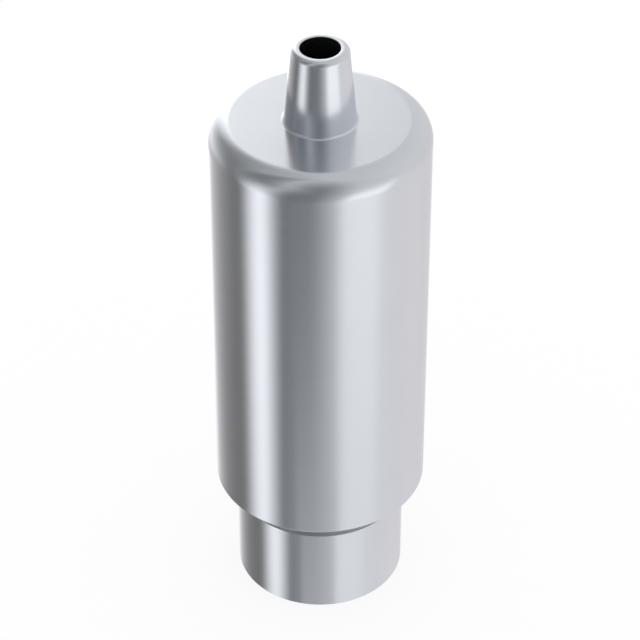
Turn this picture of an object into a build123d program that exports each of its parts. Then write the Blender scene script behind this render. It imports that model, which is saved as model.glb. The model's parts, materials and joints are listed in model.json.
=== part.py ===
from build123d import *

import os
from math import radians, tan

# Abutment blank for dental implants, turned in one piece from titanium bar.
#
# The blank stands on the end face of its clamping shank, at z = 0, with its axis on Z.
# From the bottom up: shank, relief groove, body with a rounded upper edge, and the tapered
# connection that later sits in the implant. A screw channel runs through the whole length.

# Body, the stock from which the crown side is milled
body_diameter = 10.0
body_length = 20.05
body_top_radius = 1.0
body_bottom_radius = 0.08

# Clamping shank below the body
shank_diameter = 8.0
shank_length = 5.75
shank_end_chamfer = 0.1

# Relief groove in the shank, close under the body's shoulder
groove_width = 1.15
groove_depth = 0.5
groove_corner_radius = 0.1

# Tapered implant connection on the body's flat top
cone_length = 3.67
cone_base_diameter = 3.26
cone_tip_diameter = 2.58
cone_rim_radius = 0.25
cone_root_radius = 0.1

# Screw channel: the shaft's hole through the connection, the head's seat inside the body,
# and the wider hole by which screw and driver come in from the shank end
shaft_hole_diameter = 1.8
shaft_hole_lip_radius = 0.03
driver_hole_diameter = 2.4
driver_hole_chamfer = 0.2
seat_depth_in_body = 1.3
seat_angle = 90.0

# Radii and heights that follow from the sizes above
body_radius = body_diameter / 2
shank_radius = shank_diameter / 2
groove_floor_radius = shank_radius - groove_depth
cone_base_radius = cone_base_diameter / 2
cone_tip_radius = cone_tip_diameter / 2
shaft_hole_radius = shaft_hole_diameter / 2
driver_hole_radius = driver_hole_diameter / 2

groove_bottom = shank_length - groove_width
body_top = shank_length + body_length
cone_top = body_top + cone_length
seat_top = body_top - seat_depth_in_body
seat_bottom = seat_top - (driver_hole_radius - shaft_hole_radius) / tan(radians(seat_angle / 2))


def corner(section, radius, height):
    """The section's corner at this distance from the axis and this height."""
    return section.vertices().sort_by_distance((radius, height))[0]


# The turned blank: one half section, from the shank end up the outside, over the cone's tip
# and back down the screw channel, revolved about the axis
with BuildPart() as abutment_blank:
    with BuildSketch(Plane.XZ) as half_section:
        with BuildLine():
            Polyline(
                (driver_hole_radius, 0),
                (shank_radius, 0),
                (shank_radius, groove_bottom),
                (groove_floor_radius, groove_bottom),
                (groove_floor_radius, shank_length),
                (body_radius, shank_length),
                (body_radius, body_top),
                (cone_base_radius, body_top),
                (cone_tip_radius, cone_top),
                (shaft_hole_radius, cone_top),
                (shaft_hole_radius, seat_top),
                (driver_hole_radius, seat_bottom),
                close=True,
            )
        make_face()

        # Broken edges of the shank end, outside and at the driver's hole
        chamfer(corner(half_section, shank_radius, 0), length=shank_end_chamfer)
        chamfer(corner(half_section, driver_hole_radius, 0), length=driver_hole_chamfer)

        # Inner corners of the relief groove, as the grooving insert leaves them
        fillet(corner(half_section, groove_floor_radius, groove_bottom), radius=groove_corner_radius)
        fillet(corner(half_section, groove_floor_radius, shank_length), radius=groove_corner_radius)

        # Edges of the body: barely broken at the shoulder, well rounded at the top
        fillet(corner(half_section, body_radius, shank_length), radius=body_bottom_radius)
        fillet(corner(half_section, body_radius, body_top), radius=body_top_radius)

        # Root, rim and hole lip of the connection
        fillet(corner(half_section, cone_base_radius, body_top), radius=cone_root_radius)
        fillet(corner(half_section, cone_tip_radius, cone_top), radius=cone_rim_radius)
        fillet(corner(half_section, shaft_hole_radius, cone_top), radius=shaft_hole_lip_radius)
    revolve(axis=Axis.Z)
abutment_blank.part.label = "abutment_blank"

os.makedirs("parts", exist_ok=True)
export_step(abutment_blank.part, "parts/abutment_blank.step")
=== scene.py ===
import json
import math

import bmesh
import bpy
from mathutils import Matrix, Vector


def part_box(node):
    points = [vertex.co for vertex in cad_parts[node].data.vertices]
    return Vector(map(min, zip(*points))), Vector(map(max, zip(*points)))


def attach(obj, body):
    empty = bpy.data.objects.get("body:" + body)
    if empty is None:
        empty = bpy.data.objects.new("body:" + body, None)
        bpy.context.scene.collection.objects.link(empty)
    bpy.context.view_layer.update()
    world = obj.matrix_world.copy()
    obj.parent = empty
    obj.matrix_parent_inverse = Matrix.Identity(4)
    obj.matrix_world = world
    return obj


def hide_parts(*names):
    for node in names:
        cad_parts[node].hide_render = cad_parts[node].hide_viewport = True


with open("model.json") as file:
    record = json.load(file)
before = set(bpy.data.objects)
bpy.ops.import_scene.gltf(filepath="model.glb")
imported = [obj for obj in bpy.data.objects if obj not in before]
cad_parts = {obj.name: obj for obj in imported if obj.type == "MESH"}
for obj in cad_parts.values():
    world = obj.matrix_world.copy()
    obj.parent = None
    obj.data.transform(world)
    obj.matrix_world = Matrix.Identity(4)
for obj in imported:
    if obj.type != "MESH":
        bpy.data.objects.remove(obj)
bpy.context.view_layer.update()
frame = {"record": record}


# The abutment blank: one piece turned from titanium bar. Body, shank, relief groove, tapered
# connection and screw channel are all cut in the bar, and the outside is then finely turned and
# satin polished.
MM = 0.001
mounts = {mount["name"]: mount for mount in frame["record"]["mounts"]}
_, blank_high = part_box("abutment_blank")

shank_radius = mounts["clamping_shank"]["dims"]["r_mm"] * MM
shaft_hole_radius = mounts["shaft_hole"]["dims"]["r_mm"] * MM
driver_hole_radius = mounts["driver_hole"]["dims"]["r_mm"] * MM
shoulder_height = mounts["holder_shoulder"]["pos_m"][2]
body_radius = blank_high.x
tip_height = blank_high.z

cone_length = 3.67 * MM
cone_base_radius = 1.63 * MM
cone_tip_radius = 1.29 * MM
cone_root_radius = 0.1 * MM
cone_rim_radius = 0.25 * MM
body_top_radius = 1.0 * MM
body_bottom_radius = 0.08 * MM
groove_width = 1.15 * MM
groove_depth = 0.5 * MM
groove_corner_radius = 0.1 * MM
shank_end_chamfer = 0.1 * MM
driver_hole_chamfer = 0.2 * MM
shaft_hole_lip_radius = 0.03 * MM
seat_depth_in_body = 1.3 * MM

body_top = tip_height - cone_length
groove_bottom = shoulder_height - groove_width
groove_floor_radius = shank_radius - groove_depth
seat_top = body_top - seat_depth_in_body
seat_bottom = seat_top - (driver_hole_radius - shaft_hole_radius)

# Each corner of the turned half section: distance from the axis, height, rounding or chamfer, and
# the number of straight steps in it
section_corners = [
    (driver_hole_radius, 0, driver_hole_chamfer, 1),
    (shank_radius, 0, shank_end_chamfer, 1),
    (shank_radius, groove_bottom, 0, 0),
    (groove_floor_radius, groove_bottom, groove_corner_radius, 6),
    (groove_floor_radius, shoulder_height, groove_corner_radius, 6),
    (body_radius, shoulder_height, body_bottom_radius, 8),
    (body_radius, body_top, body_top_radius, 24),
    (cone_base_radius, body_top, cone_root_radius, 8),
    (cone_tip_radius, tip_height, cone_rim_radius, 12),
    (shaft_hole_radius, tip_height, shaft_hole_lip_radius, 6),
    (shaft_hole_radius, seat_top, 0, 0),
    (driver_hole_radius, seat_bottom, 0, 0),
]
steps_round_axis = 256
end_ring_width = 0.015 * MM
shortest_ringed_side = 0.15 * MM
same_place = 0.0001 * MM
sharp_edge_angle = math.radians(30)


def tangent_length(before, at, after, radius):
    """How far from the corner a rounding of this radius meets the two straight sides."""
    turn = (at - before).angle(after - at)
    return radius * math.tan(turn / 2)


def turned_mesh(name, corners, steps):
    """A closed half section, its corners rounded, spun about the Z axis into a mesh."""
    points = [Vector((radius, 0, height)) for radius, height, _, _ in corners]
    bm = bmesh.new()
    verts = [bm.verts.new(point) for point in points]
    for index, vert in enumerate(verts):
        bm.edges.new((verts[index - 1], vert))
    for index, (_, _, radius, segments) in enumerate(corners):
        if segments == 0:
            continue
        after = points[(index + 1) % len(points)]
        reach = tangent_length(points[index - 1], points[index], after, radius)
        bmesh.ops.bevel(
            bm, geom=[verts[index]], offset=reach, offset_type="OFFSET", segments=segments,
            profile=0.5, affect="VERTICES", material=-1,
        )
    # A narrow ring at both ends of every straight side keeps the rounding beside it from bending
    # the side's shading
    for side in [edge for edge in bm.edges if edge.calc_length() > shortest_ringed_side]:
        for end in side.verts[:]:
            ring = bmesh.utils.edge_split(side, end, end_ring_width / side.calc_length())
            side = max(ring[0], side, key=lambda edge: edge.calc_length())
    bmesh.ops.spin(
        bm, geom=bm.verts[:] + bm.edges[:], cent=(0, 0, 0), axis=(0, 0, 1),
        angle=math.tau, steps=steps, use_merge=True, use_duplicate=False,
    )
    bmesh.ops.remove_doubles(bm, verts=bm.verts, dist=same_place)
    bmesh.ops.recalc_face_normals(bm, faces=bm.faces)
    mesh = bpy.data.meshes.new(name)
    bm.to_mesh(mesh)
    bm.free()
    mesh.shade_smooth()
    mesh.set_sharp_from_angle(angle=sharp_edge_angle)
    return mesh


blank_mesh = turned_mesh("turned_blank", section_corners, steps_round_axis)
blank = bpy.data.objects.new("turned_blank", blank_mesh)
bpy.context.scene.collection.objects.link(blank)


class Wire:
    """A shader socket that can be reckoned with: arithmetic on it adds Math nodes. A wire without
    a socket only makes the first nodes of its tree."""

    def __init__(self, tree, socket):
        self.tree = tree
        self.socket = socket

    def node(self, kind, settings=None, inputs=None, out=0):
        """Adds a node of this kind, sets it up, feeds its inputs and returns one output."""
        made = self.tree.nodes.new(kind)
        for key, value in (settings or {}).items():
            setattr(made, key, value)
        for key, value in (inputs or {}).items():
            if isinstance(value, Wire):
                self.tree.links.new(value.socket, made.inputs[key])
            else:
                made.inputs[key].default_value = value
        return None if out is None else Wire(self.tree, made.outputs[out])

    def parts(self):
        """The X, Y and Z of this vector."""
        return [self.node("ShaderNodeSeparateXYZ", inputs={0: self}, out=axis) for axis in "XYZ"]

    def math(self, operation, *others):
        """A Math node on this value and the others."""
        return self.node("ShaderNodeMath", {"operation": operation}, dict(enumerate((self, *others))))

    def __add__(self, other):
        return self.math("ADD", other)

    __radd__ = __add__

    def __mul__(self, other):
        return self.math("MULTIPLY", other)

    __rmul__ = __mul__

    def __sub__(self, other):
        return self.math("SUBTRACT", other)

    def __rsub__(self, other):
        return self * -1 + other


titanium = bpy.data.materials.new("satin_titanium")
titanium.use_nodes = True
titanium_tree = titanium.node_tree
titanium_shader = titanium_tree.nodes["Principled BSDF"]
titanium_shader.inputs["Metallic"].default_value = 1.0

# Where a point of the metal lies, in millimetres: its distance from the axis, its height and its
# bearing round the axis
metal = Wire(titanium_tree, None)
place = metal.node("ShaderNodeTexCoord", out="Object")
place_mm = metal.node("ShaderNodeVectorMath", {"operation": "SCALE"}, {0: place, "Scale": 1 / MM})
across, along, height = place_mm.parts()
from_axis = (across * across + along * along).math("SQRT")
bearing = across.math("ARCTAN2", along)


def rings(pitch, drift, detail):
    """Noise that runs round the axis in fine rings, on walls and on flat faces alike. It changes
    slowly on the way round, by its drift, and meets itself again without a seam."""
    rings_per_mm = 1 / pitch
    drift_front = bearing.math("COSINE") * drift
    drift_side = bearing.math("SINE") * drift
    ring_place = metal.node(
        "ShaderNodeCombineXYZ",
        inputs={"X": from_axis * rings_per_mm, "Y": height * rings_per_mm, "Z": drift_front},
    )
    return metal.node(
        "ShaderNodeTexNoise",
        {"noise_dimensions": "4D"},
        {"Vector": ring_place, "W": drift_side, "Scale": 1.0, "Detail": detail},
    )


def mottle(spots_per_mm, detail):
    """Even noise with this many spots to a millimetre."""
    return metal.node(
        "ShaderNodeTexNoise", inputs={"Vector": place_mm, "Scale": spots_per_mm, "Detail": detail}
    )


# Turning marks left by the tool's feed, the fainter lines of the polishing cloth over them, the
# fine even grain of the satin finish, and large soft clouds where the cloth pressed harder
feed_pitch = 0.09
cloth_pitch = 0.025
feed_marks = rings(feed_pitch, drift=0.5, detail=2.0)
cloth_marks = rings(cloth_pitch, drift=3.0, detail=1.0)
grain = mottle(spots_per_mm=28.0, detail=3.0)
clouding = mottle(spots_per_mm=0.35, detail=2.0)


def band(value, low, high, edge):
    """1 where value is between low and high, with edges this wide."""
    above = value.node(
        "ShaderNodeMapRange", inputs={"Value": value, "From Min": low - edge, "From Max": low}
    )
    below = value.node(
        "ShaderNodeMapRange", inputs={"Value": value, "From Min": high + edge, "From Max": high}
    )
    return above * below


# The screw channel and the relief groove are left as they were cut, and so are duller. Their colour
# is also darker, as painted shade for the shade that falls in the groove and down the channel. The
# bands that mark them begin and end a few hundredths of a millimetre from the walls.
margin = 0.01
below_table = -1
below_seat = band(height, below_table, seat_top / MM, 2 * margin)
in_channel = band(from_axis, 0, driver_hole_radius / MM + margin, margin) * below_seat
in_shaft_hole = band(from_axis, 0, shaft_hole_radius / MM + margin / 2, margin)
in_bore = in_channel.math("MAXIMUM", in_shaft_hole)
beside_groove = band(height, groove_bottom / MM - margin, shoulder_height / MM - margin, margin)
in_groove = beside_groove * band(
    from_axis, groove_floor_radius / MM - 5 * margin, shank_radius / MM - 2 * margin, margin
)

polished_colour = (0.736, 0.762, 0.807, 1)
# Painted shade: the groove's colour is darker than the polished metal, for the shade under the
# shoulder
groove_shade_colour = (0.685, 0.695, 0.72, 1)
# Painted shade: the screw channel's colour is much darker, for the shade deep in the hole
bore_shade_colour = (0.30, 0.305, 0.315, 1)
polished_roughness = 0.20
groove_roughness = 0.42
bore_roughness = 0.25


def laid_over(under, over, amount):
    """One colour laid over another by this amount."""
    return amount.node("ShaderNodeMix", {"data_type": "RGBA"}, {0: amount, 6: under, 7: over}, out=2)


def swing(noise, amount):
    """Noise as a change up or down, with this much between its lowest and its highest."""
    return (noise - 0.5) * amount


# The polished colour, with the painted shade of the groove and the screw channel laid into it
outer_colour = laid_over(polished_colour, groove_shade_colour, in_groove)
colour_with_painted_shade = laid_over(outer_colour, bore_shade_colour, in_bore)
tone = 1.0 + swing(clouding, amount=0.05) + swing(feed_marks, amount=0.03)
toned_colour = metal.node(
    "ShaderNodeVectorMath", {"operation": "SCALE"}, {0: colour_with_painted_shade, "Scale": tone}
)
cut_roughness = (
    polished_roughness
    + in_groove * (groove_roughness - polished_roughness)
    + in_bore * (bore_roughness - polished_roughness)
)
worn_by_marks = (
    swing(feed_marks, amount=0.04) + swing(cloth_marks, amount=0.03) + swing(grain, amount=0.03)
)
roughness = cut_roughness + worn_by_marks

# The marks' height, each kind by its share, their depth as they were cut, and how much of it the
# polishing has left
feed_share = 0.6
cloth_share = 0.25
grain_share = 0.15
cut_depth = 0.02 * MM
left_by_polishing = 0.04
marks = feed_marks * feed_share + cloth_marks * cloth_share + grain * grain_share
surface = metal.node(
    "ShaderNodeBump",
    inputs={"Height": marks, "Strength": left_by_polishing, "Distance": cut_depth},
    out="Normal",
)
for socket, wire in (("Base Color", toned_colour), ("Roughness", roughness), ("Normal", surface)):
    titanium_tree.links.new(wire.socket, titanium_shader.inputs[socket])
blank.data.materials.append(titanium)

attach(blank, "root")
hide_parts("abutment_blank")


# The floor: a plain white table top under the blank, which keeps the blank's soft shadow. The
# metal doesn't mirror it, because the studio's light holds the table too, but a small cap of the
# same table closes the screw channel's lower end in reflections.
floor_half_width = 0.4
cap_radius = 1.5 * driver_hole_radius
cap_sides = 48


def stage_piece(name, bm, paint):
    """Makes an object of the stage from this bmesh, painted with this material."""
    mesh = bpy.data.meshes.new(name)
    bm.to_mesh(mesh)
    bm.free()
    piece = bpy.data.objects.new(name, mesh)
    bpy.context.scene.collection.objects.link(piece)
    piece.data.materials.append(paint)
    return piece


floor_paint = bpy.data.materials.new("white_table")
floor_paint.use_nodes = True
floor_tree = floor_paint.node_tree
floor_tree.nodes.clear()
table = Wire(floor_tree, None)
seen_by_camera = table.node("ShaderNodeLightPath", out="Is Camera Ray")

# The camera sees the table mostly as plain white, with only a trace of the shadow
whitened = 0.85
matt_white = table.node("ShaderNodeBsdfDiffuse", inputs={"Color": (1, 1, 1, 1)})
plain_white = table.node("ShaderNodeEmission", inputs={"Color": (1, 1, 1, 1), "Strength": 1.0})
table_surface = table.node(
    "ShaderNodeMixShader", inputs={0: seen_by_camera * whitened, 1: matt_white, 2: plain_white}
)
table.node("ShaderNodeOutputMaterial", inputs={"Surface": table_surface}, out=None)

bm = bmesh.new()
bmesh.ops.create_grid(bm, x_segments=1, y_segments=1, size=floor_half_width)
floor = stage_piece("floor", bm, floor_paint)
floor.visible_glossy = False

bm = bmesh.new()
bmesh.ops.create_circle(bm, cap_ends=True, segments=cap_sides, radius=cap_radius)
stage_piece("floor_under_channel", bm, floor_paint)


# The studio: a white tent all round, with soft lights and grey cloth flags standing in it. The
# camera sees plain white; the metal mirrors the tent, the lights and the flags.
studio = bpy.data.worlds.new("white_studio")
bpy.context.scene.world = studio
studio.use_nodes = True
studio_tree = studio.node_tree
studio_tree.nodes.clear()
tent = Wire(studio_tree, None)

# The direction in which the metal looks out: in degrees, azimuth from the camera's side towards
# its right, and elevation above the table
to_right, to_back, upwards = tent.node("ShaderNodeTexCoord", out="Generated").parts()
degrees_per_radian = math.degrees(1)
view_azimuth = to_right.math("ARCTAN2", to_back * -1) * degrees_per_radian
view_elevation = upwards.math("ARCSINE") * degrees_per_radian
from_straight_down = view_elevation + 90


def fade(distance, half_width, softness):
    """1 within half_width of a panel's middle line, 0 outside it, with a soft edge between."""
    return distance.node(
        "ShaderNodeMapRange",
        {"interpolation_type": "SMOOTHSTEP"},
        {
            "Value": distance.math("ABSOLUTE"),
            "From Min": half_width - softness / 2,
            "From Max": half_width + softness / 2,
            "To Min": 1.0,
            "To Max": 0.0,
        },
    )


def shade(level, tint):
    """A colour of this brightness and tint."""
    return tuple(level * channel for channel in tint) + (1,)


def with_panel(
    studio_light, azimuth, elevation, half_width, half_height, soft_across, soft_up, lean, level, tint
):
    """The studio's light with one more soft-edged panel in it. Its angles are in degrees, and
    it leans sideways by this many degrees for each degree of height."""
    above = view_elevation - elevation
    sideways = (view_azimuth - azimuth - above * lean).math("WRAP", 180.0, -180.0)
    inside = fade(sideways, half_width, soft_across) * fade(above, half_height, soft_up)
    return laid_over(studio_light, shade(level, tint), inside)


white = (1, 1, 1)
plain_grey = (0.99, 1.0, 0.98)
cool_grey = (0.95, 1.0, 1.05)

# The tent's cloth, a little darker towards the top
tent_rise = tent.node(
    "ShaderNodeMapRange",
    {"interpolation_type": "SMOOTHSTEP"},
    {"Value": view_elevation, "From Min": -30.0, "From Max": 60.0},
)
tent_foot = shade(level=0.80, tint=white)
tent_top = shade(level=0.63, tint=white)
mirrored = laid_over(tent_foot, tent_top, tent_rise)

# Behind the blank: the room's back wall, and the bright backdrop to the left of it
mirrored = with_panel(
    mirrored, azimuth=163, elevation=-14, half_width=50, half_height=64,
    soft_across=30, soft_up=70, lean=-0.8, level=0.75, tint=white,
)
mirrored = with_panel(
    mirrored, azimuth=-164, elevation=0, half_width=19, half_height=34,
    soft_across=20, soft_up=30, lean=0.2, level=2.8, tint=white,
)

# To the left: a tall grey flag, and nearer the camera the strip light that draws the long
# bright line down the wall
mirrored = with_panel(
    mirrored, azimuth=-109, elevation=-22, half_width=41, half_height=85,
    soft_across=55, soft_up=90, lean=-0.2, level=0.18, tint=plain_grey,
)
mirrored = with_panel(
    mirrored, azimuth=-52, elevation=-14, half_width=12, half_height=34,
    soft_across=45, soft_up=20, lean=0.3, level=2.35, tint=white,
)

# In front: a grey flag round the camera, and the wide soft light to its right
mirrored = with_panel(
    mirrored, azimuth=-17, elevation=2, half_width=34, half_height=66,
    soft_across=50, soft_up=70, lean=0.2, level=0.22, tint=cool_grey,
)
mirrored = with_panel(
    mirrored, azimuth=47, elevation=-19, half_width=22, half_height=16,
    soft_across=15, soft_up=40, lean=0.3, level=1.20, tint=white,
)

# High up on the left: a flag over the strip light, and a gap between it and the front flag
mirrored = with_panel(
    mirrored, azimuth=-63, elevation=49, half_width=22, half_height=51,
    soft_across=20, soft_up=90, lean=0, level=0.22, tint=cool_grey,
)
mirrored = with_panel(
    mirrored, azimuth=-38, elevation=61, half_width=3, half_height=41,
    soft_across=60, soft_up=35, lean=-0.2, level=0.70, tint=white,
)

# Low down: the backdrop's edge on the table, the strip light's dark foot, the patch of table that
# the lights brighten before the blank, and the table top straight below
mirrored = with_panel(
    mirrored, azimuth=-143, elevation=-7, half_width=28, half_height=7,
    soft_across=55, soft_up=90, lean=0, level=1.60, tint=white,
)
mirrored = with_panel(
    mirrored, azimuth=-41, elevation=-42, half_width=4, half_height=18,
    soft_across=10, soft_up=90, lean=0.5, level=0.16, tint=cool_grey,
)
mirrored = with_panel(
    mirrored, azimuth=-2, elevation=-51, half_width=24, half_height=9,
    soft_across=5, soft_up=5, lean=-0.2, level=0.55, tint=white,
)
table_below = shade(level=0.60, tint=white)
straight_below = fade(from_straight_down, half_width=24, softness=15)
mirrored = laid_over(mirrored, table_below, straight_below)

# Low down behind the blank the light is a little warmer, as it comes off the table
warm = (1.02, 0.985, 0.99)
plain_light = shade(level=1.0, tint=white)
warm_light = shade(level=1.0, tint=warm)
behind = 1 - fade(view_azimuth, half_width=87.5, softness=35)
low_down = fade(from_straight_down, half_width=90, softness=30)
warmth = laid_over(plain_light, warm_light, behind * low_down)
mirrored = tent.node("ShaderNodeVectorMath", {"operation": "MULTIPLY"}, {0: mirrored, 1: warmth})

# Reflections see the studio, and all else sees plain white
in_reflection = tent.node("ShaderNodeLightPath", out="Is Glossy Ray")
seen = laid_over(plain_light, mirrored, in_reflection)
background = tent.node("ShaderNodeBackground", inputs={"Color": seen, "Strength": 1.0})
tent.node("ShaderNodeOutputWorld", inputs={"Surface": background}, out=None)


# The camera stands off the blank's front at the photograph's angle, with a long lens. It aims at
# about the middle of the blank's height, and the lens gives the blank its size in the picture.
camera_distance = 122.15 * MM
camera_elevation = math.radians(38.08)
aim_point = Vector((-0.007 * MM, 0, 14.585 * MM))
photo_size = 640
focal_pixels = 2625.4
sensor_width = 36.0

camera_data = bpy.data.cameras.new("camera")
camera_data.sensor_width = sensor_width
camera_data.lens = focal_pixels / photo_size * sensor_width
camera_data.clip_start = 0.01
camera_data.clip_end = 10
camera = bpy.data.objects.new("camera", camera_data)
bpy.context.scene.collection.objects.link(camera)
view_back = Vector((0, -math.cos(camera_elevation), math.sin(camera_elevation)))
camera.location = aim_point + view_back * camera_distance
camera.rotation_euler = (-view_back).to_track_quat("-Z", "Y").to_euler()
bpy.context.scene.camera = camera
bpy.context.scene.view_settings.view_transform = "Standard"
